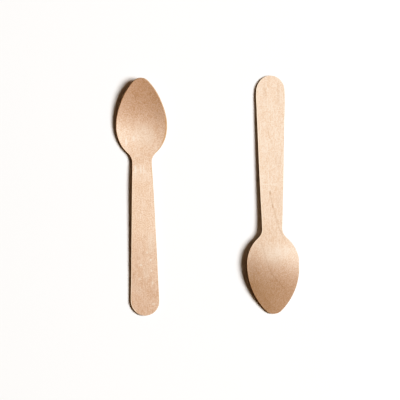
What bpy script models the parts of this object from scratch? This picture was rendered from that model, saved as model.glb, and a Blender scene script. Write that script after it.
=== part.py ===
"""Two disposable teaspoons pressed from birch veneer, lying side by side and head to tail.

Each spoon is one sheet of wood, stamped out to an outline and pressed in a die: a flat handle that
widens to a round end, a bend down at the neck, a shallow bowl dished both ways, and a toe that runs
straight up to the tip. One spoon lies face up and the other face down, each at rest on the surface.

Units are metres and +Z is up. The origin is on the surface, midway between the two spoons.
"""

import math
from dataclasses import dataclass

import bmesh
import bpy
from mathutils import Matrix, Vector, geometry

# Outline seen from above. Places along a spoon are measured from the tip of its bowl.
LENGTH = 0.110
BOWL_WIDTH = 0.0240
BOWL_WIDEST_AT = 0.0229
TIP_RADIUS = 0.0046
SHOULDER_RADIUS = 0.0155
NECK_FILLET_RADIUS = 0.0055
NECK_WIDTH = 0.0092
NECK_AT = 0.0395
HANDLE_END_WIDTH = 0.0132

# The sheet and its tumbled edges
SHEET_THICKNESS = 0.0015
EASED_EDGE = 0.0002

# Side view: the handle is straight up to the neck bend, the bowl is one bend and the toe is straight.
# The two sheets sprang back differently after pressing, so that their toes rise at different angles.
NECK_BEND_AT = 0.0510
NECK_BEND_RADIUS = 0.100
NECK_BEND_ANGLE = math.radians(9.5)
BOWL_BEND_RADIUS = 0.050
FACE_UP_TOE_ANGLE = math.radians(13.5)
FACE_DOWN_TOE_ANGLE = math.radians(16.5)

# The hollow across the bowl, which fades out towards the neck
DISH_RADIUS = 0.060
DISH_STARTS_AT = 0.042
DISH_FULL_AT = 0.024

# How the two spoons lie
AXIS_SPACING = 0.0596

# The mesh: cells across the sheet, and rows of cells along each stretch of it
CELLS_ACROSS = 12
CELLS_ROUND_TIP = 7
CELLS_ALONG_BOWL = 24
CELLS_ALONG_HANDLE = 14
CELLS_ROUND_END = 6
TIP_CAP_LENGTH = 0.009

# Finishes, as linear red, green and blue
FACE_UP_COLOUR = (0.80, 0.60, 0.42, 1.0)
FACE_DOWN_COLOUR = (0.84, 0.65, 0.47, 1.0)
WOOD_ROUGHNESS = 0.62

COLLECTION_NAME = "wooden_cutlery_pack"


@dataclass(frozen=True)
class Arc:
    """A round stretch of the outline's side, up to the place where the next stretch takes over."""

    centre_at: float
    centre_out: float
    radius: float
    bulge: int
    end_at: float

    def half_width(self, at):
        """Distance from the centre line to the side at a place along the spoon."""
        run = min(abs(at - self.centre_at), self.radius)
        return self.centre_out + self.bulge * math.sqrt(self.radius**2 - run**2)


@dataclass(frozen=True)
class Taper:
    """A straight stretch of the outline's side, through two points."""

    start: Vector
    end: Vector
    end_at: float

    def half_width(self, at):
        """Distance from the centre line to the side at a place along the spoon."""
        share = (at - self.start.x) / (self.end.x - self.start.x)
        return self.start.y + share * (self.end.y - self.start.y)


def tangent_point(arc_centre, arc_radius, other_centre):
    """Where a circle meets another that touches it, towards the other's centre."""
    return arc_centre + (other_centre - arc_centre).normalized() * arc_radius


def make_outline():
    """The stretches of a spoon's side from the tip to the handle's end, each tangent to the next."""
    bowl_half = BOWL_WIDTH / 2
    end_half = HANDLE_END_WIDTH / 2

    # The side arc is level at the widest place and touches the tip's circle from outside.
    side_radius = (BOWL_WIDEST_AT**2 - 2 * BOWL_WIDEST_AT * TIP_RADIUS + bowl_half**2) / (
        2 * (bowl_half - TIP_RADIUS)
    )
    tip_centre = Vector((TIP_RADIUS, 0))
    side_centre = Vector((BOWL_WIDEST_AT, bowl_half - side_radius))
    tip_meets_side = tangent_point(side_centre, side_radius, tip_centre)

    # The neck fillet touches the shoulder arc and the straight side of the handle.
    neck = Vector((NECK_AT, NECK_WIDTH / 2))
    handle_end = Vector((LENGTH - end_half, end_half))
    along = (handle_end - neck).normalized()
    out = Vector((-along.y, along.x)) * NECK_FILLET_RADIUS
    shoulder_centre = Vector((BOWL_WIDEST_AT, bowl_half - SHOULDER_RADIUS))
    crossings = geometry.intersect_line_sphere_2d(
        neck + out, handle_end + out, shoulder_centre, SHOULDER_RADIUS + NECK_FILLET_RADIUS, False
    )
    fillet_centre = max(crossings, key=lambda point: point.x)
    shoulder_meets_fillet = tangent_point(shoulder_centre, SHOULDER_RADIUS, fillet_centre)
    fillet_meets_handle = fillet_centre - out

    return (
        Arc(tip_centre.x, 0, TIP_RADIUS, 1, tip_meets_side.x),
        Arc(side_centre.x, side_centre.y, side_radius, 1, BOWL_WIDEST_AT),
        Arc(shoulder_centre.x, shoulder_centre.y, SHOULDER_RADIUS, 1, shoulder_meets_fillet.x),
        Arc(fillet_centre.x, fillet_centre.y, NECK_FILLET_RADIUS, -1, fillet_meets_handle.x),
        Taper(neck, handle_end, handle_end.x),
        Arc(handle_end.x, 0, end_half, 1, LENGTH),
    )


def half_width(outline, at):
    """Half the spoon's width at a place along it."""
    stretch = next((part for part in outline if at < part.end_at), outline[-1])
    return stretch.half_width(at)


def camber(at, toe_angle):
    """Height of the centre line over the handle's plane: down at the neck, round the bowl, up the toe."""
    past_bend = max(NECK_BEND_AT - at, 0)
    neck_run = NECK_BEND_RADIUS * math.sin(NECK_BEND_ANGLE)
    if past_bend < neck_run:
        return math.sqrt(NECK_BEND_RADIUS**2 - past_bend**2) - NECK_BEND_RADIUS

    lowest_run = neck_run + BOWL_BEND_RADIUS * math.sin(NECK_BEND_ANGLE)
    lowest = -(NECK_BEND_RADIUS + BOWL_BEND_RADIUS) * (1 - math.cos(NECK_BEND_ANGLE))
    toe_run = lowest_run + BOWL_BEND_RADIUS * math.sin(toe_angle)
    round_run = min(past_bend, toe_run) - lowest_run
    rise = BOWL_BEND_RADIUS - math.sqrt(BOWL_BEND_RADIUS**2 - round_run**2)
    return lowest + rise + max(past_bend - toe_run, 0) * math.tan(toe_angle)


def dish(across, at):
    """How far the sheet is raised beside the centre line by the hollow across the bowl."""
    share = (DISH_STARTS_AT - at) / (DISH_STARTS_AT - DISH_FULL_AT)
    share = min(max(share, 0), 1)
    blend = share * share * (3 - 2 * share)
    return blend * (DISH_RADIUS - math.sqrt(DISH_RADIUS**2 - across**2))


def round_cap(side, share):
    """Where a cell corner of a round end lies: share of the way across, and of the cap's length.

    The cap's rows go from straight, where it starts, to curved along its round edge.
    """
    reach = share * math.sqrt(1 - side**2 / 2)
    spread = side * math.sqrt(1 - share**2 / 2)
    open_width = math.sqrt(max(1 - reach**2, 0))
    return (spread / open_width if open_width else 0), reach


def place_corner(side, row):
    """The share across, from -1 to 1, and the place along the spoon of a corner of the grid."""
    end_cap_length = HANDLE_END_WIDTH / 2
    handle_row = CELLS_ROUND_END + CELLS_ALONG_HANDLE
    bowl_row = handle_row + CELLS_ALONG_BOWL
    if row < CELLS_ROUND_END:
        across, reach = round_cap(side, 1 - row / CELLS_ROUND_END)
        return across, LENGTH - end_cap_length * (1 - reach)
    if row < handle_row:
        share = (row - CELLS_ROUND_END) / CELLS_ALONG_HANDLE
        start = LENGTH - end_cap_length
        return side, start + share * (DISH_STARTS_AT - start)
    if row < bowl_row:
        share = (row - handle_row) / CELLS_ALONG_BOWL
        return side, DISH_STARTS_AT + share * (TIP_CAP_LENGTH - DISH_STARTS_AT)
    across, reach = round_cap(side, (row - bowl_row) / CELLS_ROUND_TIP)
    return across, TIP_CAP_LENGTH * (1 - reach)


def make_sheet_mesh(toe_angle):
    """The pressed sheet's middle surface, with the bowl's tip towards +Y and the handle level."""
    outline = make_outline()
    rows = CELLS_ROUND_END + CELLS_ALONG_HANDLE + CELLS_ALONG_BOWL + CELLS_ROUND_TIP
    sheet = bmesh.new()
    bmesh.ops.create_grid(sheet, x_segments=CELLS_ACROSS, y_segments=rows, size=1)
    for corner in sheet.verts:
        row = round((corner.co.y + 1) / 2 * rows)
        share_across, at = place_corner(corner.co.x, row)
        across = share_across * half_width(outline, at)
        corner.co = (across, LENGTH / 2 - at, camber(at, toe_angle) + dish(across, at))
    mesh = bpy.data.meshes.new("pressed_sheet")
    sheet.to_mesh(mesh)
    sheet.free()
    mesh.shade_smooth()
    return mesh


def make_wood(name, colour):
    """A plain wood finish."""
    material = bpy.data.materials.new(name)
    material.use_nodes = True
    principled = material.node_tree.nodes["Principled BSDF"]
    principled.inputs["Base Color"].default_value = colour
    principled.inputs["Roughness"].default_value = WOOD_ROUGHNESS
    principled.inputs["Metallic"].default_value = 0
    material.diffuse_color = colour
    return material


def make_spoon(name, toe_angle, colour, collection, parent):
    """One spoon: the pressed surface made a sheet, with its cut edges eased."""
    mesh = make_sheet_mesh(toe_angle)
    spoon = bpy.data.objects.new(name, mesh)
    collection.objects.link(spoon)
    spoon.parent = parent
    mesh.materials.append(make_wood(name + "_wood", colour))

    thicken = spoon.modifiers.new("Sheet", "SOLIDIFY")
    thicken.thickness = SHEET_THICKNESS
    thicken.offset = 0

    ease = spoon.modifiers.new("Eased edge", "BEVEL")
    ease.width = EASED_EDGE
    ease.segments = 2
    ease.limit_method = "ANGLE"
    ease.angle_limit = math.radians(50)
    return spoon


def lower_hull(points):
    """The chain of points that a straight line from below can touch, from left to right."""
    chain = []
    for point in sorted(points):
        while len(chain) > 1:
            (x0, z0), (x1, z1) = chain[-2:]
            if (x1 - x0) * (point[1] - z0) > (z1 - z0) * (point[0] - x0):
                break
            chain.pop()
        chain.append(point)
    return chain


def lay_down(spoon, across, turn):
    """Turn a spoon about its width and let it come to rest on the surface, centred along Y.

    Seen from the side, it rests on the two points of its lower hull that its weight lies between.
    """
    graph = bpy.context.evaluated_depsgraph_get()
    solid = bmesh.new()
    solid.from_object(spoon, graph)
    bmesh.ops.rotate(solid, matrix=Matrix.Rotation(turn, 3, "X"), verts=solid.verts)
    area = sum(face.calc_area() for face in solid.faces)
    balance = sum(face.calc_area() * face.calc_center_median().y for face in solid.faces) / area

    hull = lower_hull([(corner.co.y, corner.co.z) for corner in solid.verts])
    held = next(index for index, point in enumerate(hull) if point[0] > balance)
    (y0, z0), (y1, z1) = hull[held - 1 : held + 1]
    tilt = -math.atan2(z1 - z0, y1 - y0)
    bmesh.ops.rotate(solid, matrix=Matrix.Rotation(tilt, 3, "X"), verts=solid.verts)

    lengthwise = [corner.co.y for corner in solid.verts]
    lowest = min(corner.co.z for corner in solid.verts)
    solid.free()
    spoon.rotation_euler.x = turn + tilt
    spoon.location = (across, -(min(lengthwise) + max(lengthwise)) / 2, -lowest)


def clear_scene():
    """Remove every object that the scene holds."""
    for item in list(bpy.data.objects):
        bpy.data.objects.remove(item, do_unlink=True)


def main():
    """Build the two spoons in a collection of their own."""
    clear_scene()
    collection = bpy.data.collections.new(COLLECTION_NAME)
    bpy.context.scene.collection.children.link(collection)
    pack = bpy.data.objects.new("pack", None)
    collection.objects.link(pack)

    face_up = make_spoon("spoon_face_up", FACE_UP_TOE_ANGLE, FACE_UP_COLOUR, collection, pack)
    face_down = make_spoon("spoon_face_down", FACE_DOWN_TOE_ANGLE, FACE_DOWN_COLOUR, collection, pack)
    lay_down(face_up, -AXIS_SPACING / 2, 0)
    lay_down(face_down, AXIS_SPACING / 2, math.pi)


main()
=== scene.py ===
"""Two disposable teaspoons pressed from birch veneer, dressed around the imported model.

Each spoon is one thin sheet of wood: stamped out, pressed in a heated die, tumbled to take the
splinters off, and left bare. One lies face up and the other face down, head to tail, on a white
surface under a side light and a soft light overhead.

Lengths are metres, apart from those of the finishes, the trims and the relief, which are millimetres.
A spoon's own axes are X across it, Y along it with the bowl's tip at +Y, and Z out of the inner face of
its flat handle.
"""

from __future__ import annotations

import logging
import math
from dataclasses import dataclass, field
from enum import Enum
from typing import Any, Union

import bmesh
import bpy
from mathutils import Matrix, Vector, geometry, kdtree, noise


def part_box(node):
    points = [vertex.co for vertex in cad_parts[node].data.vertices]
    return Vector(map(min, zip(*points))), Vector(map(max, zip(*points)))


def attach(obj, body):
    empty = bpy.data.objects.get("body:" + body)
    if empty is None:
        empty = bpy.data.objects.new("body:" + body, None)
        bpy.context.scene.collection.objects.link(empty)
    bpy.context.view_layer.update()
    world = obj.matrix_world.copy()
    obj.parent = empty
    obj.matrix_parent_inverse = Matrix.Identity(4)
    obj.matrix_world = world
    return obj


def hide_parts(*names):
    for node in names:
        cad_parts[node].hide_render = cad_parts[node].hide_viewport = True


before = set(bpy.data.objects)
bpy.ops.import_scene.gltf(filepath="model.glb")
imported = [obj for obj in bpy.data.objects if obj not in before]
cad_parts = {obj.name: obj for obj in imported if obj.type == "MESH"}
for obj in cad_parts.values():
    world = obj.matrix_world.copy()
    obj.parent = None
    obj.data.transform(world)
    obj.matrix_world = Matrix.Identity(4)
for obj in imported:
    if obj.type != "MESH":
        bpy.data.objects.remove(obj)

LOG = logging.getLogger("teaspoons")
BODY = "root"
RIM = "rim"
FACE_SLOT = 0
EDGE_SLOT = 1
MILLIMETRE = 0.001
NOISE_MIDDLE = 0.5

Colour = tuple[float, float, float]
Cell = tuple[float, float, float]
Number = Union[float, int, "Value"]

PALE_RIM: Colour = (0.92, 0.80, 0.66)
BROWN_RIM: Colour = (0.60, 0.38, 0.21)


class Side(Enum):
    """Which face of a spoon looks up."""

    INNER = 1
    OUTER = -1


class Blend(Enum):
    """How one colour is laid over another."""

    COVER = "MIX"
    TINT = "MULTIPLY"


def smooth_step(share: float) -> float:
    """An even S from 0 to 1, held at both ends."""
    held = min(max(share, 0.0), 1.0)
    return held * held * (3 - 2 * held)


def bump_share(distance: float, reach: float) -> float:
    """A soft hump: 1 at no distance, 0 from reach on."""
    return smooth_step(1 - abs(distance) / reach)


class Value:
    """A number that varies over a surface: one shader socket with Python's arithmetic."""

    def __init__(self, shader: Shader, socket: bpy.types.NodeSocket) -> None:
        """Keep the socket and the shader that it belongs to."""
        self.shader = shader
        self.socket = socket

    def _math(self, operation: str, *terms: Number) -> Value:
        """One Math node on the given terms."""
        return self.shader.value("ShaderNodeMath", {"operation": operation}, dict(enumerate(terms)))

    def __add__(self, other: Number) -> Value:
        """Sum."""
        return self._math("ADD", self, other)

    __radd__ = __add__

    def __sub__(self, other: Number) -> Value:
        """Difference."""
        return self._math("SUBTRACT", self, other)

    def __rsub__(self, other: Number) -> Value:
        """Difference, with this value taken away."""
        return self._math("SUBTRACT", other, self)

    def __mul__(self, other: Number) -> Value:
        """Product."""
        return self._math("MULTIPLY", self, other)

    __rmul__ = __mul__

    def __truediv__(self, other: Number) -> Value:
        """Quotient."""
        return self._math("DIVIDE", self, other)

    def __pow__(self, other: Number) -> Value:
        """Power."""
        return self._math("POWER", self, other)

    def __abs__(self) -> Value:
        """Distance from zero."""
        return self._math("ABSOLUTE", self)

    def step(self, low: float, high: float) -> Value:
        """A smooth step that goes from 0 at low to 1 at high, or falls if low is the larger.

        Args:
            low: the value that gives 0.
            high: the value that gives 1.

        Returns:
            The stepped value, held between 0 and 1.
        """
        start, end, first, last = (low, high, 0.0, 1.0) if low < high else (high, low, 1.0, 0.0)
        settings = {"interpolation_type": "SMOOTHSTEP"}
        sockets = {"Value": self, "From Min": start, "From Max": end, "To Min": first, "To Max": last}
        return self.shader.value("ShaderNodeMapRange", settings, sockets)


class Shader:
    """Builds one material's node tree."""

    def __init__(self, name: str, place: Matrix | None = None) -> None:
        """Start a material with one Principled BSDF.

        Args:
            name: the material's name.
            place: where the wood's own axes lie.
        """
        self.material = bpy.data.materials.new(name)
        self.material.use_nodes = True
        self.tree = self.material.node_tree
        self.surface = self.tree.nodes["Principled BSDF"]
        if place is not None:
            world = self.node("ShaderNodeTexCoord", {}, {}).outputs["Object"]
            sockets = {"Vector": world, "Location": place.to_translation(), "Rotation": place.to_euler()}
            self.own = self.node("ShaderNodeMapping", {"vector_type": "TEXTURE"}, sockets).outputs[0]

    @staticmethod
    def _socket(sockets: Any, key: int | str) -> bpy.types.NodeSocket:
        """The socket at a place, or the first one in use with a name.

        Args:
            sockets: a node's inputs or outputs.
            key: the place or the name.

        Returns:
            The socket.
        """
        if isinstance(key, int):
            return sockets[key]
        return next(socket for socket in sockets if socket.name == key and socket.enabled)

    def _feed(self, socket: bpy.types.NodeSocket, source: Any) -> None:
        """Give a socket a link, a number or a colour.

        Args:
            socket: the input.
            source: what it is given.
        """
        if isinstance(source, Value):
            source = source.socket
        if isinstance(source, bpy.types.NodeSocket):
            self.tree.links.new(source, socket)
        elif socket.type == "RGBA":
            socket.default_value = (*source[:3], 1.0)
        else:
            socket.default_value = source

    def node(self, kind: str, settings: dict[str, Any], sockets: dict[int | str, Any]) -> bpy.types.Node:
        """Add any node.

        Args:
            kind: the node's type.
            settings: its properties, set first; "points" fills a curve.
            sockets: values or links, by the socket's name or place.

        Returns:
            The node.
        """
        made = self.tree.nodes.new(kind)
        for name, setting in settings.items():
            if name == "points":
                self._fill_curve(made.mapping, setting)
            else:
                setattr(made, name, setting)
        for key, source in sockets.items():
            self._feed(self._socket(made.inputs, key), source)
        return made

    @staticmethod
    def _fill_curve(mapping: bpy.types.CurveMapping, points: list[tuple[float, float]]) -> None:
        """Set a curve's points.

        Args:
            mapping: the curve's mapping.
            points: the points in order, each from 0 to 1 both ways.
        """
        curve = mapping.curves[0]
        while len(curve.points) < len(points):
            curve.points.new(1.0, 1.0)
        for point, place in zip(curve.points, points):
            point.location = place
        mapping.update()

    def value(self, kind: str, settings: dict[str, Any], sockets: dict[int | str, Any]) -> Value:
        """Add a node and take its first output as a number."""
        return Value(self, self.node(kind, settings, sockets).outputs[0])

    def curve(self, points: list[tuple[float, float]], place: Value) -> Value:
        """The height of a drawn curve at a place from 0 to 1."""
        return self.value("ShaderNodeFloatCurve", {"points": points}, {"Factor": 1.0, "Value": place})

    def mix(
        self, factor: Number, under: Any, over: Any, blend: Blend = Blend.COVER
    ) -> bpy.types.NodeSocket:
        """Lay one colour over another.

        Args:
            factor: how much of the upper colour shows.
            under: the lower colour, or a link to one.
            over: the upper colour, or a link to one.
            blend: how the upper colour is laid.

        Returns:
            The mixed colour's socket.
        """
        settings = {"data_type": "RGBA", "blend_type": blend.value, "clamp_result": False}
        made = self.node("ShaderNodeMix", settings, {"Factor": factor, "A": under, "B": over})
        return self._socket(made.outputs, "Result")

    def place(self, shift: Vector, stretch: Vector) -> bpy.types.NodeSocket:
        """The spoon's own coordinates, moved and then scaled.

        Args:
            shift: metres added to the place.
            stretch: cells per metre along each axis.

        Returns:
            The scaled place's socket.
        """
        moved = self.node("ShaderNodeVectorMath", {"operation": "ADD"}, {0: self.own, 1: shift})
        scaled = {0: moved.outputs[0], 1: stretch}
        return self.node("ShaderNodeVectorMath", {"operation": "MULTIPLY"}, scaled).outputs[0]

    def noise(self, shift: Vector, cell: Cell, detail: float, bend: float) -> Value:
        """Cloudy noise with cells of a given size.

        Args:
            shift: where in the noise this spoon's wood lies, in metres.
            cell: the size of one cell along each axis, in millimetres.
            detail: how many finer layers are added.
            bend: how far the cells are distorted.

        Returns:
            The noise, around zero.
        """
        stretch = Vector([1 / (length * MILLIMETRE) for length in cell])
        settings = {"noise_dimensions": "3D", "normalize": True}
        sockets = {"Vector": self.place(shift, stretch), "Scale": 1.0, "Detail": detail, "Distortion": bend}
        return self.value("ShaderNodeTexNoise", settings, sockets) - NOISE_MIDDLE

    def axes(self) -> tuple[Value, Value]:
        """The places across and along the spoon, in millimetres."""
        across, along, _ = self.node("ShaderNodeSeparateXYZ", {}, {0: self.own}).outputs
        return Value(self, across) / MILLIMETRE, Value(self, along) / MILLIMETRE

    def noted(self, name: str) -> Value:
        """A number that is noted on the mesh's points."""
        return Value(self, self.node("ShaderNodeAttribute", {"attribute_name": name}, {}).outputs["Fac"])

    def finish(
        self, colour: Any, roughness: Number, height: Value, depth: float, fixed: dict[str, Any]
    ) -> None:
        """Feed the surface's own sockets.

        Args:
            colour: the base colour.
            roughness: the roughness.
            height: the relief that the bump follows.
            depth: how deep a height of 1 is, in millimetres.
            fixed: what is the same all over, by socket name.
        """
        sockets = {"Strength": 1.0, "Distance": depth * MILLIMETRE, "Height": height}
        bump = self.node("ShaderNodeBump", {}, sockets)
        self._feed(self.surface.inputs["Base Color"], colour)
        self._feed(self.surface.inputs["Roughness"], roughness)
        self._feed(self.surface.inputs["Normal"], bump.outputs[0])
        self.fix(fixed)

    def fix(self, fixed: dict[str, Any]) -> None:
        """Set the surface's sockets that are the same all over, by name."""
        for name, setting in fixed.items():
            self._feed(self.surface.inputs[name], setting)


@dataclass(frozen=True)
class Patch:
    """A soft oval mark on the wood."""

    across: float
    along: float
    half_width: float
    half_length: float
    strength: float

    def mask(self, x: Value, y: Value) -> Value:
        """How much of the mark shows at a place across and along the spoon."""
        out = ((x - self.across) / self.half_width) ** 2 + ((y - self.along) / self.half_length) ** 2
        return out.step(1.0, 0.0) * self.strength


@dataclass(frozen=True)
class GrowthLine:
    """A thin growth line that wanders along the grain, as points of (across, along).

    It fades over a share of its length at both ends.
    """

    points: tuple[tuple[float, float], ...]
    half_width: float
    strength: float
    fade: float = 0.08

    def mask(self, shader: Shader, x: Value, y: Value) -> Value:
        """The line as a mask, which fades at both ends.

        Args:
            shader: the material that it is drawn in.
            x: the place across the spoon.
            y: the place along the spoon.

        Returns:
            The mask.
        """
        ordered = sorted(self.points, key=lambda point: point[1])
        start, end = ordered[0][1], ordered[-1][1]
        left = min(point[0] for point in ordered)
        spread = max(point[0] for point in ordered) - left
        points = [((along - start) / (end - start), (across - left) / spread) for across, along in ordered]
        share = (y - start) / (end - start)
        away = abs(x - (shader.curve(points, share) * spread + left))
        ends = share.step(0.0, self.fade) * share.step(1.0, 1.0 - self.fade)
        return away.step(self.half_width, 0.0) * ends * self.strength


@dataclass(frozen=True)
class RimLine:
    """A thin line just inside the cut edge, on one side of the spoon and over a stretch of it."""

    side: int
    start: float
    end: float
    colour: Colour
    strength: float
    width: float = 0.55
    full_share: float = 0.2
    fade: float = 3.0
    side_fade: float = 2.0

    def mask(self, rim: Value, x: Value, y: Value) -> Value:
        """The line as a mask.

        Args:
            rim: the distance to the cut edge.
            x: the place across the spoon.
            y: the place along the spoon.

        Returns:
            The mask.
        """
        near = rim.step(self.width, self.width * self.full_share)
        stretch = y.step(self.start - self.fade, self.start) * y.step(self.end + self.fade, self.end)
        return near * (x * self.side).step(0.0, self.side_fade) * stretch * self.strength


@dataclass(frozen=True)
class ToneAndShadeRun:
    """How far the wood is darkened along the spoon, as points of (along, share) in order: painted shade
    toward the toe, whose tilt turns it from the light, partly the wood's own browner tone.
    """

    points: tuple[tuple[float, float], ...]
    tint: Colour

    def lay(self, shader: Shader, y: Value, colour: Any) -> bpy.types.NodeSocket:
        """Darken a colour along the spoon: painted shade toward the toe, partly the wood's own browner
        tone.

        Args:
            shader: the material that it is laid in.
            y: the place along the spoon.
            colour: the colour before darkening.

        Returns:
            The darkened colour's socket.
        """
        start, end = self.points[0][0], self.points[-1][0]
        points = [((along - start) / (end - start), share) for along, share in self.points]
        share = shader.curve(points, (y - start) / (end - start))
        return shader.mix(share, colour, self.tint, Blend.TINT)


@dataclass(frozen=True)
class GrainLayer:
    """One layer of the grain: noise with cells of a given size, in millimetres along X, Y and Z."""

    offset: float
    cell: Cell
    detail: float
    bend: float

    def lay(self, shader: Shader, shift: Vector) -> Value:
        """The layer's noise in the sheet that lies at a given place in it."""
        return shader.noise(shift * self.offset, self.cell, self.detail, self.bend)


@dataclass(frozen=True)
class VeneerFinish:
    """Bare birch veneer: pale wood with fine fibres, flecks, pores and a few growth marks, with painted
    shade toward the toe and on one side of the bowl, and painted sheen in the bowl.
    """

    name: str
    shift: Vector
    pale: Colour
    tan: Colour
    run: ToneAndShadeRun

    # The grain, from the broadest layer to the finest.
    clouds: GrainLayer = GrainLayer(1.0, (3.2, 9.0, 3.0), 3.0, 0.4)
    mottle: GrainLayer = GrainLayer(1.7, (0.62, 1.7, 1.0), 2.0, 0.3)
    fibres: GrainLayer = GrainLayer(2.3, (0.30, 5.0, 0.6), 3.0, 0.15)
    pores: GrainLayer = GrainLayer(4.3, (0.28, 1.5, 0.4), 1.0, 0.1)
    speckle: GrainLayer = GrainLayer(3.1, (0.40, 0.50, 0.45), 2.0, 0.2)

    # How far each layer turns the wood from pale to tan, and how much more at the mottled end and the toe.
    tan_share: float = 0.42
    clouding: float = 0.9
    end_clouding: float = 0.2
    mottling: float = 0.9
    end_mottling: float = 1.2
    fibre_contrast: float = 1.4
    speckling: float = 4.9
    toe_speckling: float = 0.0
    mottled_from: float = -22.0
    mottled_to: float = -36.0
    toe_from: float = 22.0
    toe_to: float = 38.0

    # Brown marks, and painted shade on the bowl's side turned from the key light. A mark's base is how much
    # of it shows where the grain over it is at its mean.
    brown: Colour = (0.46, 0.29, 0.17)
    brown_strength: float = 0.6
    pore_strength: float = 0.25
    pore_from: float = 0.10
    pore_to: float = 0.26
    blotches_and_shade: tuple[Patch, ...] = ()
    dark_patch_base: float = 0.75
    growth_lines: tuple[GrowthLine, ...] = ()
    growth_line_base: float = 0.9

    # Pale flecks and streaks, and painted sheen: broad pale patches in the bowl for the overhead light's
    # highlight.
    pale_and_sheen_colour: Colour = (0.90, 0.80, 0.70)
    pale_and_sheen_strength: float = 0.9
    fine_fleck_strength: float = 0.45
    fine_fleck_from: float = 0.10
    fine_fleck_to: float = 0.28
    pale_streaks_and_sheen: tuple[Patch, ...] = ()
    pale_patch_base: float = 0.7

    # The scorched rim beside the cut edge, and thin pale and brown lines just inside it.
    edge: Colour = (0.62, 0.42, 0.25)
    edge_strength: float = 0.12
    edge_base: float = 0.6
    edge_reach: float = 0.25
    edge_full: float = 0.05
    rim_lines: tuple[RimLine, ...] = ()

    # Gloss and fine relief.
    gloss: float = 0.5
    roughness: float = 0.46
    speckle_roughness: float = 0.25
    fibre_roughness: float = 0.2
    relief_depth: float = 0.035
    fibre_height: float = 0.9
    speckle_height: float = 0.6
    pore_depth: float = 0.8
    pore_deep_at: float = 0.30
    mottle_height: float = 0.5

    def make(self, place: Matrix) -> bpy.types.Material:
        """Build the material.

        Args:
            place: where the spoon's own axes lie.

        Returns:
            The finished material.
        """
        shader = Shader(self.name, place)
        x, y = shader.axes()
        clouds = self.clouds.lay(shader, self.shift)
        mottle = self.mottle.lay(shader, self.shift)
        fibres = self.fibres.lay(shader, self.shift)
        speckle = self.speckle.lay(shader, self.shift)
        pores = self.pores.lay(shader, self.shift)

        end = y.step(self.mottled_from, self.mottled_to)
        toe = y.step(self.toe_from, self.toe_to)
        tone = (
            clouds * (end * self.end_clouding + self.clouding)
            + mottle * (end * self.end_mottling + self.mottling)
            + fibres * self.fibre_contrast
            + speckle * (toe * self.toe_speckling + self.speckling)
        )
        colour = shader.mix(tone + self.tan_share, self.pale, self.tan)

        browned_and_shaded: Number = pores.step(self.pore_from, self.pore_to) * self.pore_strength
        # Some blotches are painted shade on the bowl's side turned from the key light.
        for dark_patch in self.blotches_and_shade:
            browned_and_shaded = browned_and_shaded + dark_patch.mask(x, y) * (mottle + self.dark_patch_base)
        for line in self.growth_lines:
            browned_and_shaded = browned_and_shaded + line.mask(shader, x, y) * (fibres + self.growth_line_base)
        colour = shader.mix(browned_and_shaded * self.brown_strength, colour, self.brown)

        pale_and_sheen: Number = speckle.step(self.fine_fleck_from, self.fine_fleck_to) * self.fine_fleck_strength
        # Painted sheen and glints come in with the pale streaks.
        for pale_patch in self.pale_streaks_and_sheen:
            pale_and_sheen = pale_and_sheen + pale_patch.mask(x, y) * (fibres + self.pale_patch_base)
        colour = shader.mix(pale_and_sheen * self.pale_and_sheen_strength, colour, self.pale_and_sheen_colour)
        # Painted shade toward the toe, whose tilt turns it from the light, partly the wood's own browner
        # tone.
        colour = self.run.lay(shader, y, colour)

        rim = shader.noted(RIM)
        scorched = rim.step(self.edge_reach, self.edge_full) * (fibres + self.edge_base)
        colour = shader.mix(scorched * self.edge_strength, colour, self.edge)
        for line in self.rim_lines:
            colour = shader.mix(line.mask(rim, x, y), colour, line.colour)

        rough = speckle * self.speckle_roughness + fibres * self.fibre_roughness + self.roughness
        height = (
            fibres * self.fibre_height
            + speckle * self.speckle_height
            - pores.step(self.pore_from, self.pore_deep_at) * self.pore_depth
            + mottle * self.mottle_height
        )
        fixed = {"Specular IOR Level": self.gloss, "Metallic": 0.0}
        shader.finish(colour, rough, height, self.relief_depth, fixed)
        return shader.material


@dataclass(frozen=True)
class CutEdgeFinish:
    """The stamped edge: layers of fibres seen from the side, a little scorched and compressed."""

    name: str
    shift: Vector
    light: Colour = (0.66, 0.48, 0.34)
    dark: Colour = (0.44, 0.29, 0.18)
    layers: GrainLayer = GrainLayer(1.0, (1.5, 2.5, 0.10), 3.0, 0.5)
    tears: GrainLayer = GrainLayer(1.9, (0.3, 0.35, 0.5), 2.0, 0.2)
    dark_share: float = 0.45
    layer_contrast: float = 1.6
    tear_contrast: float = 1.1
    gloss: float = 0.3
    roughness: float = 0.7
    tear_roughness: float = 0.2
    relief_depth: float = 0.06
    layer_height: float = 0.8

    def make(self, place: Matrix) -> bpy.types.Material:
        """Build the material.

        Args:
            place: where the spoon's own axes lie.

        Returns:
            The finished material.
        """
        shader = Shader(self.name, place)
        layers = self.layers.lay(shader, self.shift)
        tears = self.tears.lay(shader, self.shift)
        tone = layers * self.layer_contrast + tears * self.tear_contrast + self.dark_share
        colour = shader.mix(tone.step(0.0, 1.0), self.light, self.dark)
        rough = tears * self.tear_roughness + self.roughness
        height = layers * self.layer_height + tears
        fixed = {"Specular IOR Level": self.gloss, "Metallic": 0.0}
        shader.finish(colour, rough, height, self.relief_depth, fixed)
        return shader.material


@dataclass(frozen=True)
class Stretch:
    """A stretch of the outline's side: an arc, or a straight taper where the radius is 0."""

    start: Vector
    end: Vector
    radius: float = 0.0
    bulge: int = 1

    def half_width(self, at: float) -> float:
        """Distance from the centre line to the side.

        Args:
            at: the place along the spoon, from the tip.

        Returns:
            The distance.
        """
        if self.radius:
            run = min(abs(at - self.start.x), self.radius)
            return self.start.y + self.bulge * math.sqrt(self.radius**2 - run**2)
        share = (at - self.start.x) / (self.end.x - self.start.x)
        return self.start.y + share * (self.end.y - self.start.y)


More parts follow.
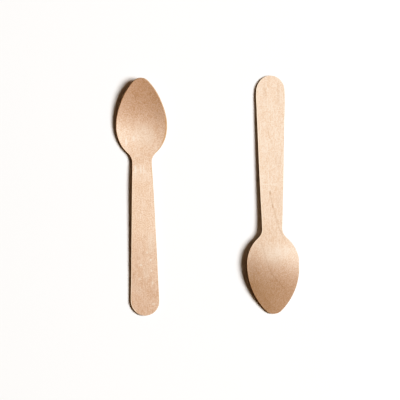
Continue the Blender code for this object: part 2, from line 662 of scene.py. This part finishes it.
@dataclass(frozen=True)
class SpoonForm:
    """The stamped outline and the pressed shape of a spoon, with places measured from the bowl's tip."""

    length: float = 0.110
    bowl_width: float = 0.0240
    bowl_widest_at: float = 0.0229
    tip_radius: float = 0.0046
    shoulder_radius: float = 0.0155
    neck_fillet_radius: float = 0.0055
    neck_width: float = 0.0092
    neck_at: float = 0.0395
    handle_end_width: float = 0.0132
    thickness: float = 0.0015
    eased_edge: float = 0.0002
    neck_bend_at: float = 0.0510
    neck_bend_radius: float = 0.100
    neck_bend_angle: float = math.radians(9.5)
    bowl_bend_radius: float = 0.050
    toe_angle: float = math.radians(13.5)
    dish_radius: float = 0.060
    dish_starts_at: float = 0.042
    dish_full_at: float = 0.024
    tip_cap: float = 0.009

    def outline(self) -> list[tuple[float, Stretch]]:
        """The stretches of the side from the tip to the handle's end.

        Returns:
            Each stretch with the place where it ends, in order.
        """
        bowl_half = self.bowl_width / 2
        end_half = self.handle_end_width / 2
        side_radius = (
            self.bowl_widest_at**2 - 2 * self.bowl_widest_at * self.tip_radius + bowl_half**2
        ) / (2 * (bowl_half - self.tip_radius))
        tip = Vector((self.tip_radius, 0))
        side = Vector((self.bowl_widest_at, bowl_half - side_radius))
        tip_meets_side = side + (tip - side).normalized() * side_radius

        neck = Vector((self.neck_at, self.neck_width / 2))
        end = Vector((self.length - end_half, end_half))
        along = (end - neck).normalized()
        out = Vector((-along.y, along.x)) * self.neck_fillet_radius
        shoulder = Vector((self.bowl_widest_at, bowl_half - self.shoulder_radius))
        reach = self.shoulder_radius + self.neck_fillet_radius
        crossings = geometry.intersect_line_sphere_2d(neck + out, end + out, shoulder, reach, False)
        fillet = max(crossings, key=lambda point: point.x)
        shoulder_meets_fillet = shoulder + (fillet - shoulder).normalized() * self.shoulder_radius

        return [
            (tip_meets_side.x, Stretch(tip, tip, self.tip_radius)),
            (self.bowl_widest_at, Stretch(side, side, side_radius)),
            (shoulder_meets_fillet.x, Stretch(shoulder, shoulder, self.shoulder_radius)),
            ((fillet - out).x, Stretch(fillet, fillet, self.neck_fillet_radius, -1)),
            (end.x, Stretch(neck, end)),
            (self.length, Stretch(Vector((end.x, 0)), end, end_half)),
        ]

    def camber(self, at: float) -> float:
        """Height of the centre line over the handle's plane.

        Args:
            at: the place along the spoon, from the tip.

        Returns:
            The height, which is below zero in the bowl.
        """
        past = max(self.neck_bend_at - at, 0)
        neck_run = self.neck_bend_radius * math.sin(self.neck_bend_angle)
        if past < neck_run:
            return math.sqrt(self.neck_bend_radius**2 - past**2) - self.neck_bend_radius
        lowest_run = neck_run + self.bowl_bend_radius * math.sin(self.neck_bend_angle)
        depth = (self.neck_bend_radius + self.bowl_bend_radius) * (1 - math.cos(self.neck_bend_angle))
        toe_run = lowest_run + self.bowl_bend_radius * math.sin(self.toe_angle)
        round_run = min(past, toe_run) - lowest_run
        rise = self.bowl_bend_radius - math.sqrt(self.bowl_bend_radius**2 - round_run**2)
        return rise - depth + max(past - toe_run, 0) * math.tan(self.toe_angle)

    def dish(self, across: float, at: float) -> float:
        """How far the sheet is raised beside the centre line by the hollow across the bowl."""
        share = (self.dish_starts_at - at) / (self.dish_starts_at - self.dish_full_at)
        return smooth_step(share) * (self.dish_radius - math.sqrt(self.dish_radius**2 - across**2))


@dataclass(frozen=True)
class Trim:
    """A place, from the bowl's tip, where one side's edge lies a little further in, or out if below 0."""

    side: int
    at: float
    reach: float
    inset: float

    def at_place(self, across: float, at: float) -> float:
        """How far the edge is moved in at a place.

        Args:
            across: the share across the spoon, whose sign tells the side.
            at: the place along the spoon, from the tip.

        Returns:
            The distance.
        """
        if across * self.side < 0:
            return 0.0
        return self.inset * MILLIMETRE * bump_share(at / MILLIMETRE - self.at, self.reach)


@dataclass(frozen=True)
class SheetMesh:
    """The counts of the coarse sheet: cells across it, and rows along each stretch."""

    across: int = 20
    round_end: int = 10
    handle: int = 34
    bowl: int = 40
    round_tip: int = 12
    smoothing: int = 2

    @property
    def rows(self) -> int:
        """All the rows of cells."""
        return self.round_end + self.handle + self.bowl + self.round_tip

    @staticmethod
    def round_cap(side: float, share: float) -> tuple[float, float]:
        """Where a corner of a round end lies.

        Args:
            side: the corner's share across the square grid.
            share: its share along the cap, from the cap's start.

        Returns:
            The share of the open width there and the share of the cap's length.
        """
        reach = share * math.sqrt(1 - side**2 / 2)
        spread = side * math.sqrt(1 - share**2 / 2)
        open_width = math.sqrt(max(1 - reach**2, 0))
        return (spread / open_width if open_width else 0), reach

    def corner(self, form: SpoonForm, side: float, row: int) -> tuple[float, float]:
        """The share across, from -1 to 1, and the place along the spoon of a corner.

        Args:
            form: the spoon's form.
            side: the corner's share across the square grid.
            row: the corner's row, counted from the handle's end.

        Returns:
            The share across the spoon and the distance from the tip.
        """
        end_cap = form.handle_end_width / 2
        start = form.length - end_cap
        if row < self.round_end:
            across, reach = self.round_cap(side, 1 - row / self.round_end)
            return across, start + end_cap * reach
        if row < self.round_end + self.handle:
            share = (row - self.round_end) / self.handle
            return side, start + share * (form.dish_starts_at - start)
        bowl_row = row - self.round_end - self.handle
        if bowl_row < self.bowl:
            share = bowl_row / self.bowl
            return side, form.dish_starts_at + share * (form.tip_cap - form.dish_starts_at)
        across, reach = self.round_cap(side, (bowl_row - self.bowl) / self.round_tip)
        return across, form.tip_cap * (1 - reach)


@dataclass(frozen=True)
class ReliefLayer:
    """One layer of the worn relief: noise with cells of a given size, in millimetres along X, Y and Z."""

    cell: Cell
    spread: float

    def at(self, point: Vector, shift: Vector) -> float:
        """The layer's height at a point of the sheet, mostly between -1 and 1."""
        cells = Vector([length / (size * MILLIMETRE) for length, size in zip(point, self.cell)])
        return noise.noise(cells + shift * self.spread)


@dataclass
class PressedSpoon:
    """One spoon: its mesh, its worn relief, its finishes and its place in the frame."""

    node: str
    side: Side
    slot: str
    face: VeneerFinish
    edge: CutEdgeFinish
    trims: tuple[Trim, ...] = ()
    form: SpoonForm = field(default_factory=SpoonForm)
    mesh: SheetMesh = field(default_factory=SheetMesh)
    arris_segments: int = 3
    arris_angle: float = math.radians(50)
    level_normal: float = 0.9
    wave: ReliefLayer = ReliefLayer((9.0, 16.0, math.inf), 900)
    wave_height: float = 0.05
    ridges: ReliefLayer = ReliefLayer((0.45, 7.0, 1.0), 500)
    ridge_height: float = 0.012
    ridge_base: float = 0.5
    tears: ReliefLayer = ReliefLayer((1.6, 0.9, 0.5), 700)
    tear_share: float = 0.4
    checks: ReliefLayer = ReliefLayer((0.5, 0.4, 0.25), 300)
    check_share: float = 0.25
    torn_edge: float = 0.07
    torn_base: float = 0.45
    piece: bpy.types.Object | None = None

    def build(self) -> bpy.types.Object:
        """Make the spoon, dress it, lay it where its CAD node lies and tie it to the frame.

        Returns:
            The finished piece.
        """
        sheet = self.make_sheet()
        self.piece = bpy.data.objects.new(self.node + "_veneer", sheet)
        bpy.context.scene.collection.objects.link(self.piece)
        self.add_thickness(sheet)
        place = self.find_place()
        self.wear(place)
        self.piece.data.materials[FACE_SLOT] = self.face.make(place)
        self.piece.data.materials[EDGE_SLOT] = self.edge.make(place)
        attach(self.piece, BODY)
        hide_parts(self.node)
        return self.piece

    def make_sheet(self) -> bpy.types.Mesh:
        """The pressed sheet's middle surface, with the handle level.

        Returns:
            An open mesh of quads.
        """
        outline = self.form.outline()
        sheet = bmesh.new()
        bmesh.ops.create_grid(sheet, x_segments=self.mesh.across, y_segments=self.mesh.rows, size=1)
        for corner in sheet.verts:
            row = round((corner.co.y + 1) / 2 * self.mesh.rows)
            share, at = self.mesh.corner(self.form, corner.co.x, row)
            stretch = next((part for end, part in outline if at < end), outline[-1][1])
            inset = sum(trim.at_place(share, at) for trim in self.trims)
            across = share * (stretch.half_width(at) - inset)
            height = self.form.camber(at) + self.form.dish(across, at)
            corner.co = (across, self.form.length / 2 - at, height)
        mesh = bpy.data.meshes.new(self.node + "_sheet")
        sheet.to_mesh(mesh)
        sheet.free()
        mesh.shade_smooth()
        return mesh

    def add_thickness(self, sheet: bpy.types.Mesh) -> None:
        """Thicken the sheet, ease its arrises, smooth it and keep the result as the piece's mesh.

        Args:
            sheet: the sheet's middle surface, which the piece carries.
        """
        for _ in (FACE_SLOT, EDGE_SLOT):
            sheet.materials.append(None)
        thicken = self.piece.modifiers.new("sheet", "SOLIDIFY")
        thicken.thickness = self.form.thickness
        thicken.offset = 0
        thicken.material_offset_rim = EDGE_SLOT
        ease = self.piece.modifiers.new("eased arris", "BEVEL")
        ease.width = self.form.eased_edge
        ease.segments = self.arris_segments
        ease.limit_method = "ANGLE"
        ease.angle_limit = self.arris_angle
        smooth = self.piece.modifiers.new("smooth", "SUBSURF")
        smooth.levels = self.mesh.smoothing
        smooth.render_levels = self.mesh.smoothing
        graph = bpy.context.evaluated_depsgraph_get()
        finished = bpy.data.meshes.new_from_object(self.piece.evaluated_get(graph))
        self.piece.modifiers.clear()
        self.piece.data = finished

    def find_place(self) -> Matrix:
        """Where the spoon's own axes lie.

        They are turned to the slope of the CAD node's flat handle and moved into that node's box.

        Returns:
            The place, from the spoon's own axes to the frame's.
        """
        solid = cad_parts[self.node].data
        upper = [face for face in solid.polygons if face.normal.z > self.level_normal]
        flat = max(upper, key=lambda face: face.area).normal * self.side.value
        turn = Matrix.Rotation(math.atan2(-flat.y, flat.z), 4, "X")
        placed = [turn @ vertex.co for vertex in self.piece.data.vertices]
        low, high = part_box(self.node)
        middle = (low + high) / 2
        along = (min(point.y for point in placed) + max(point.y for point in placed)) / 2
        lowest = min(point.z for point in placed)
        return Matrix.Translation((middle.x, middle.y - along, low.z - lowest)) @ turn

    def wear(self, place: Matrix) -> None:
        """Give the wood its relief, lay it down in its CAD node's box and note how far the rim is.

        Args:
            place: where the spoon's own axes lie.
        """
        mesh = self.piece.data
        cut_faces = [face for face in mesh.polygons if face.material_index == EDGE_SLOT]
        rim_points = {index for face in cut_faces for index in face.vertices}
        tree = kdtree.KDTree(len(rim_points))
        for index in rim_points:
            tree.insert(mesh.vertices[index].co, index)
        tree.balance()
        normals = [vertex.normal.copy() for vertex in mesh.vertices]
        rims = [0.0] * len(mesh.vertices)
        low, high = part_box(self.node)
        for vertex, normal in zip(mesh.vertices, normals):
            rims[vertex.index] = tree.find(vertex.co)[2] / MILLIMETRE
            on_rim = vertex.index in rim_points
            moved = vertex.co + self.relief(vertex.co, normal, on_rim) * MILLIMETRE
            vertex.co = [min(max(value, a), b) for value, a, b in zip(place @ moved, low, high)]
        attribute = mesh.attributes.new(RIM, "FLOAT", "POINT")
        attribute.data.foreach_set("value", rims)
        mesh.update()

    def relief(self, point: Vector, normal: Vector, on_rim: bool) -> Vector:
        """How far one point of the surface is moved by grain, pressing and wear.

        Args:
            point: the point, in the spoon's own axes.
            normal: the surface's direction there.
            on_rim: whether it lies on the cut edge.

        Returns:
            The move, in millimetres.
        """
        shift = self.face.shift
        move = Vector((0, 0, self.wave_height * self.wave.at(point, shift)))
        if on_rim:
            tear = self.tear_share * self.tears.at(point, shift)
            check = self.check_share * self.checks.at(point, shift)
            return move - normal * self.torn_edge * (self.torn_base + tear + check)
        ridge = self.ridges.at(point, shift)
        return move - normal * self.ridge_height * (self.ridge_base + ridge)


@dataclass
class Studio:
    """The white surface, the lights, the film's response and the camera over the spoons.

    The scale is in pixels a metre, and the frame and the middle's place in it are in pixels. The film's
    curve is the one for all colours together.
    """

    scale: float = 2160.0
    frame_pixels: float = 400.0
    roll: float = math.radians(-0.94)
    middle_right: float = 7.15
    middle_up: float = 4.3
    camera_height: float = 1.8
    camera_reach: float = 10.0
    sensor: float = 36.0
    floor_size: float = 4.0
    floor_colour: Colour = (0.92, 0.92, 0.92)
    key_azimuth: float = math.radians(3)
    key_elevation: float = math.radians(54)
    key_distance: float = 3.0
    key_size: float = 1.4
    key_power: float = 130.0
    overhead_height: float = 0.55
    overhead_width: float = 0.36
    overhead_depth: float = 0.24
    overhead_along: float = 0.06
    overhead_power: float = 0.2
    fill: float = 0.078
    fill_colour: Colour = (1.0, 0.52, 0.08)
    film_curve: int = 3
    film_white: float = 1.12
    film_points: tuple[tuple[float, float], ...] = (
        (0.0, 0.0), (0.06, 0.008), (0.15, 0.062), (0.30, 0.210), (0.50, 0.420),
        (0.75, 0.690), (0.95, 0.885), (1.04, 0.960), (1.12, 1.0),
    )

    def build(self) -> None:
        """Set up everything round the spoons."""
        self.add_floor()
        self.add_key()
        self.add_overhead()
        self.add_fill()
        self.add_camera()
        self.set_film()

    def add_floor(self) -> None:
        """A large plain white surface, level with the spoons' lowest points."""
        bpy.ops.mesh.primitive_plane_add(size=self.floor_size)
        floor = bpy.context.object
        floor.name = "floor"
        shader = Shader("floor_white")
        shader.fix({"Base Color": self.floor_colour, "Roughness": 1.0, "Specular IOR Level": 0.0})
        floor.data.materials.append(shader.material)

    def add_lamp(self, name: str, place: Vector, power: float) -> bpy.types.Object:
        """A white area lamp that faces the middle of the spoons.

        Args:
            name: the lamp's name.
            place: where it hangs.
            power: its power in watts.

        Returns:
            The lamp.
        """
        lamp = bpy.data.objects.new(name, bpy.data.lights.new(name, "AREA"))
        bpy.context.scene.collection.objects.link(lamp)
        lamp.location = place
        lamp.rotation_euler = place.to_track_quat("Z", "Y").to_euler()
        lamp.data.energy = power
        return lamp

    def add_key(self) -> None:
        """The round side light, which throws the shadows to the left."""
        azimuth = self.key_azimuth
        direction = Vector((math.cos(azimuth), math.sin(azimuth), math.tan(self.key_elevation)))
        key = self.add_lamp("key", direction.normalized() * self.key_distance, self.key_power)
        key.data.shape = "DISK"
        key.data.size = self.key_size

    def add_overhead(self) -> None:
        """The soft light overhead, which gives level wood its sheen."""
        place = Vector((0, self.overhead_along, self.overhead_height))
        overhead = self.add_lamp("overhead", place, self.overhead_power)
        overhead.rotation_euler = (0, 0, 0)
        overhead.data.shape = "RECTANGLE"
        overhead.data.size = self.overhead_width
        overhead.data.size_y = self.overhead_depth
        overhead.visible_camera = False

    def add_fill(self) -> None:
        """Faint warm light from all round, and the pale backdrop beyond the floor."""
        world = bpy.data.worlds.new("fill")
        bpy.context.scene.world = world
        world.use_nodes = True
        tree = world.node_tree
        fill = tree.nodes["Background"]
        fill.inputs["Color"].default_value = (*self.fill_colour, 1.0)
        fill.inputs["Strength"].default_value = self.fill
        backdrop = tree.nodes.new("ShaderNodeBackground")
        backdrop.inputs["Color"].default_value = (*self.floor_colour, 1.0)
        chosen = tree.nodes.new("ShaderNodeMixShader")
        path = tree.nodes.new("ShaderNodeLightPath")
        tree.links.new(path.outputs["Is Camera Ray"], chosen.inputs["Fac"])
        tree.links.new(fill.outputs["Background"], chosen.inputs[1])
        tree.links.new(backdrop.outputs["Background"], chosen.inputs[2])
        tree.links.new(chosen.outputs["Shader"], tree.nodes["World Output"].inputs["Surface"])

    def add_camera(self) -> None:
        """A long lens straight above, turned a little about the upright."""
        offset = Matrix.Rotation(self.roll, 2) @ Vector((self.middle_right, self.middle_up)) / self.scale
        camera = bpy.data.objects.new("camera", bpy.data.cameras.new("camera"))
        bpy.context.scene.collection.objects.link(camera)
        camera.location = (-offset.x, -offset.y, self.camera_height)
        camera.rotation_euler = (0, 0, self.roll)
        camera.data.sensor_width = self.sensor
        camera.data.lens = self.sensor * self.camera_height * self.scale / self.frame_pixels
        camera.data.clip_end = self.camera_reach
        bpy.context.scene.camera = camera

    def set_film(self) -> None:
        """The film's response: soft in the lights, deep in the shadows."""
        view = bpy.context.scene.view_settings
        view.view_transform = "Standard"
        view.use_curve_mapping = True
        mapping = view.curve_mapping
        curve = mapping.curves[self.film_curve]
        while len(curve.points) < len(self.film_points):
            curve.points.new(1.0, 1.0)
        for point, (light, shown) in zip(curve.points, self.film_points):
            point.location = (light / self.film_white, shown)
        mapping.white_level = (self.film_white,) * 3
        mapping.update()


def inner_veneer() -> VeneerFinish:
    """The left spoon's veneer: darker at the toe by painted shade and its own browner tone, darker toward
    the handle's end, with short pale streaks.

    Returns:
        The finish of the spoon that lies face up.
    """
    return VeneerFinish(
        name="veneer_inner",
        shift=Vector((0.31, 0.17, 0.05)),
        pale=(0.845, 0.66, 0.535),
        tan=(0.70, 0.485, 0.34),
        speckling=6.0,
        pore_strength=0.5,
        end_clouding=1.3,
        # Darker toward the toe: painted shade, partly the wood's own tone; also darker toward the handle's
        # end.
        run=ToneAndShadeRun(
            points=(
                (-55.0, 0.48), (-43.0, 0.45), (-35.0, 0.32), (-26.0, 0.26), (-19.0, 0.12),
                (-11.0, 0.0), (-4.0, 0.05), (3.0, 0.0), (12.0, 0.0), (17.5, 0.12),
                (26.0, 0.11), (32.0, 0.33), (38.0, 0.64), (43.0, 0.84), (48.0, 0.96), (55.0, 1.0),
            ),
            tint=(0.63, 0.54, 0.47),
        ),
        # The wide patches at the bowl's right near 29 and 37 mm are painted shade on the side turned from
        # the key light.
        blotches_and_shade=(
            Patch(-2.5, 46.9, 0.6, 2.1, 0.5),
            Patch(2.0, 12.4, 0.9, 1.2, 0.35),
            Patch(0.6, -18.6, 0.9, 1.4, 0.45),
            Patch(-0.2, -20.9, 0.8, 1.2, 0.35),
            Patch(0.0, -26.0, 0.9, 1.4, 0.4),
            Patch(-2.6, -28.3, 1.1, 1.6, 0.45),
            Patch(-3.6, -32.0, 1.1, 1.8, 0.4),
            Patch(-4.9, -36.2, 0.8, 2.2, 0.4),
            Patch(-4.8, -38.5, 1.8, 7.0, 0.28),
            Patch(4.0, -44.0, 2.2, 3.5, 0.2),
            Patch(9.0, 29.0, 3.0, 7.0, 0.16),
            Patch(7.5, 37.0, 2.5, 3.5, 0.28),
            Patch(2.5, 50.7, 0.4, 1.3, 0.6),
            Patch(4.5, 47.6, 0.4, 1.6, 0.5),
            Patch(-2.7, 45.0, 0.3, 0.7, 0.6),
            Patch(1.0, 53.0, 0.6, 0.7, 0.5),
            Patch(4.9, 40.4, 0.4, 1.5, 0.5),
            Patch(0.0, 45.8, 8.5, 0.5, 0.12),
            Patch(0.0, 43.2, 9.5, 0.5, 0.12),
            Patch(0.0, 38.4, 10.0, 0.5, 0.14),
        ),
        # The broad patch in the bowl's middle is painted sheen, and the small flecks at the bowl's left
        # near 26 mm are painted glints.
        pale_streaks_and_sheen=(
            Patch(1.0, 28.5, 6.5, 6.5, 0.33),
            Patch(0.0, 10.0, 6.0, 4.5, 0.2),
            Patch(3.5, -21.5, 2.2, 6.5, 0.38),
            Patch(-6.0, 45.0, 2.8, 6.0, 0.15),
            Patch(-0.3, 44.0, 0.5, 0.6, 0.7),
            Patch(-3.5, 46.6, 0.4, 0.6, 0.6),
            Patch(0.0, -37.0, 2.2, 5.0, 0.14),
            Patch(-3.5, 11.5, 2.2, 4.0, 0.25),
            Patch(-7.2, 25.6, 0.7, 2.6, 0.9),
            Patch(-3.7, 27.0, 0.7, 2.1, 0.8),
            Patch(-3.1, 12.9, 0.6, 2.8, 0.8),
            Patch(-0.7, 12.9, 0.6, 2.8, 0.7),
            Patch(0.7, 12.9, 0.5, 2.8, 0.6),
            Patch(6.0, 42.5, 1.4, 0.4, 0.5),
            Patch(1.6, -25.8, 0.8, 0.7, 0.9),
            Patch(1.0, -35.0, 2.2, 4.5, 0.24),
            Patch(-2.5, -43.0, 1.6, 3.0, 0.26),
            Patch(-1.3, -31.5, 0.7, 0.7, 1.2),
            Patch(3.2, -29.2, 0.7, 0.8, 1.2),
            Patch(3.5, -34.3, 0.7, 0.6, 1.3),
            Patch(-2.1, -38.0, 0.8, 0.7, 1.0),
            Patch(3.9, -39.9, 0.6, 1.1, 1.1),
            Patch(4.2, -49.6, 1.1, 0.8, 1.0),
        ),
        rim_lines=(
            RimLine(-1, -52.0, 5.0, PALE_RIM, 0.45),
            RimLine(1, 26.0, 35.0, BROWN_RIM, 0.75, 0.9),
            RimLine(1, 8.0, 26.0, BROWN_RIM, 0.30, 0.7),
        ),
    )


def outer_veneer() -> VeneerFinish:
    """The right spoon's veneer: pale handle, toe darkened by painted shade and its own browner tone, and
    brown growth lines along the grain.

    Returns:
        The finish of the spoon that lies face down.
    """
    return VeneerFinish(
        name="veneer_outer",
        shift=Vector((0.83, 0.59, 0.29)),
        pale=(0.85, 0.69, 0.57),
        tan=(0.73, 0.535, 0.395),
        mottled_from=30.0,
        mottled_to=20.0,
        toe_speckling=6.5,
        # Darker toward the toe: painted shade, partly the wood's own tone.
        run=ToneAndShadeRun(
            points=(
                (-55.0, 0.0), (-10.0, 0.0), (5.0, 0.10), (17.5, 0.14), (25.5, 0.23),
                (32.0, 0.57), (37.0, 0.82), (42.0, 0.96), (47.0, 1.0), (55.0, 1.0),
            ),
            tint=(0.57, 0.48, 0.41),
        ),
        # The wide patch at the bowl's left near 32 mm is painted shade on the side turned from the key
        # light.
        blotches_and_shade=(
            Patch(-2.5, -47.3, 1.2, 5.8, 0.35),
            Patch(4.0, -46.6, 1.1, 7.4, 0.35),
            Patch(-0.7, -0.7, 0.34, 1.6, 1.9),
            Patch(0.4, 5.3, 0.4, 1.4, 0.9),
            Patch(0.0, -19.0, 5.5, 1.2, 0.1),
            Patch(-8.5, 32.0, 3.5, 8.0, 0.22),
            Patch(3.2, -15.0, 2.0, 5.0, 0.28),
            Patch(-6.0, 17.5, 3.5, 2.8, 0.16),
            Patch(6.0, 17.5, 3.5, 2.8, 0.16),
            Patch(-3.0, 52.0, 3.0, 3.0, 0.16),
            Patch(3.2, 3.0, 2.0, 4.0, 0.16),
        ),
        # The broad patch over the bowl's crest and the small spots beside it near 26 mm are painted sheen.
        pale_streaks_and_sheen=(
            Patch(0.5, 28.0, 6.5, 6.5, 0.38),
            Patch(0.0, -4.7, 6.0, 0.4, 0.45),
            Patch(-5.5, 24.5, 1.8, 3.0, 0.26),
            Patch(2.4, 26.5, 2.0, 3.0, 0.3),
            Patch(6.5, 26.5, 1.8, 3.0, 0.3),
        ),
        growth_lines=(
            GrowthLine(((-1.8, -32.2), (-0.5, -26.7), (0.8, -23.0), (2.6, -18.3)), 0.5, 0.3),
            GrowthLine(
                ((-0.7, -1.2), (0.0, 3.9), (0.4, 5.3), (1.3, 8.5), (2.1, 12.2), (3.9, 17.3), (6.2, 22.4)),
                0.7,
                0.45,
            ),
            GrowthLine(
                (
                    (-5.6, 21.0), (-4.5, 24.7), (-2.8, 30.8), (-1.0, 35.8), (0.8, 38.6), (3.6, 41.9),
                    (6.7, 45.1),
                ),
                0.7,
                0.42,
            ),
            GrowthLine(((-9.8, 39.5), (-5.3, 47.0), (-0.8, 51.6), (1.5, 54.4)), 1.6, 0.2),
        ),
        rim_lines=(RimLine(-1, -52.0, 22.0, PALE_RIM, 0.6),),
    )


def spoons() -> list[PressedSpoon]:
    """The two spoons, each with its own piece of veneer.

    Returns:
        The spoon that lies face up and the one that lies face down.
    """
    face_up = PressedSpoon(
        node="spoon_face_up",
        side=Side.INNER,
        slot="veneer_inner_face",
        face=inner_veneer(),
        edge=CutEdgeFinish("cut_edge_face_up", Vector((0.11, 0.07, 0.02))),
        trims=(
            Trim(-1, 12.0, 12.0, 0.2),
            Trim(1, 12.0, 12.0, 0.35),
            Trim(1, 26.0, 10.0, 0.3),
            Trim(-1, 26.0, 9.0, 0.18),
            Trim(-1, 35.5, 6.0, -0.18),
            Trim(1, 38.0, 10.0, 0.16),
            Trim(1, 62.0, 22.0, -0.2),
            Trim(1, 84.0, 22.0, -0.3),
            Trim(1, 106.0, 22.0, -0.3),
            Trim(-1, 72.0, 22.0, 0.1),
            Trim(-1, 94.0, 22.0, 0.2),
            Trim(-1, 108.0, 7.0, 0.3),
        ),
    )
    face_down = PressedSpoon(
        node="spoon_face_down",
        side=Side.OUTER,
        slot="veneer_outer_face",
        face=outer_veneer(),
        edge=CutEdgeFinish("cut_edge_face_down", Vector((0.57, 0.37, 0.13))),
        form=SpoonForm(toe_angle=math.radians(16.5)),
        trims=(
            Trim(1, 5.0, 22.0, -0.45),
            Trim(1, 27.0, 22.0, -0.1),
            Trim(1, 53.0, 18.0, -0.25),
            Trim(1, 71.0, 18.0, -0.35),
            Trim(1, 89.0, 18.0, -0.35),
            Trim(1, 107.0, 18.0, -0.1),
            Trim(-1, 27.0, 12.0, 0.12),
            Trim(-1, 18.0, 18.0, 0.18),
            Trim(1, 98.0, 10.0, -0.22),
            Trim(-1, 62.0, 30.0, -0.12),
            Trim(-1, 107.5, 8.0, 0.6),
            Trim(-1, 95.5, 2.5, 0.08),
        ),
    )
    return [face_up, face_down]


def main() -> None:
    """Build the spoons and the studio, and note the sizes."""
    logging.basicConfig(level=logging.INFO, format="%(message)s")
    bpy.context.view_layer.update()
    for spoon in spoons():
        piece = spoon.build()
        triangles = sum(len(face.vertices) - 2 for face in piece.data.polygons)
        LOG.info("%s: %d triangles", piece.name, triangles)
    Studio().build()
    LOG.info("studio: floor, key, overhead, fill and camera")


if __name__ == "__main__":
    main()
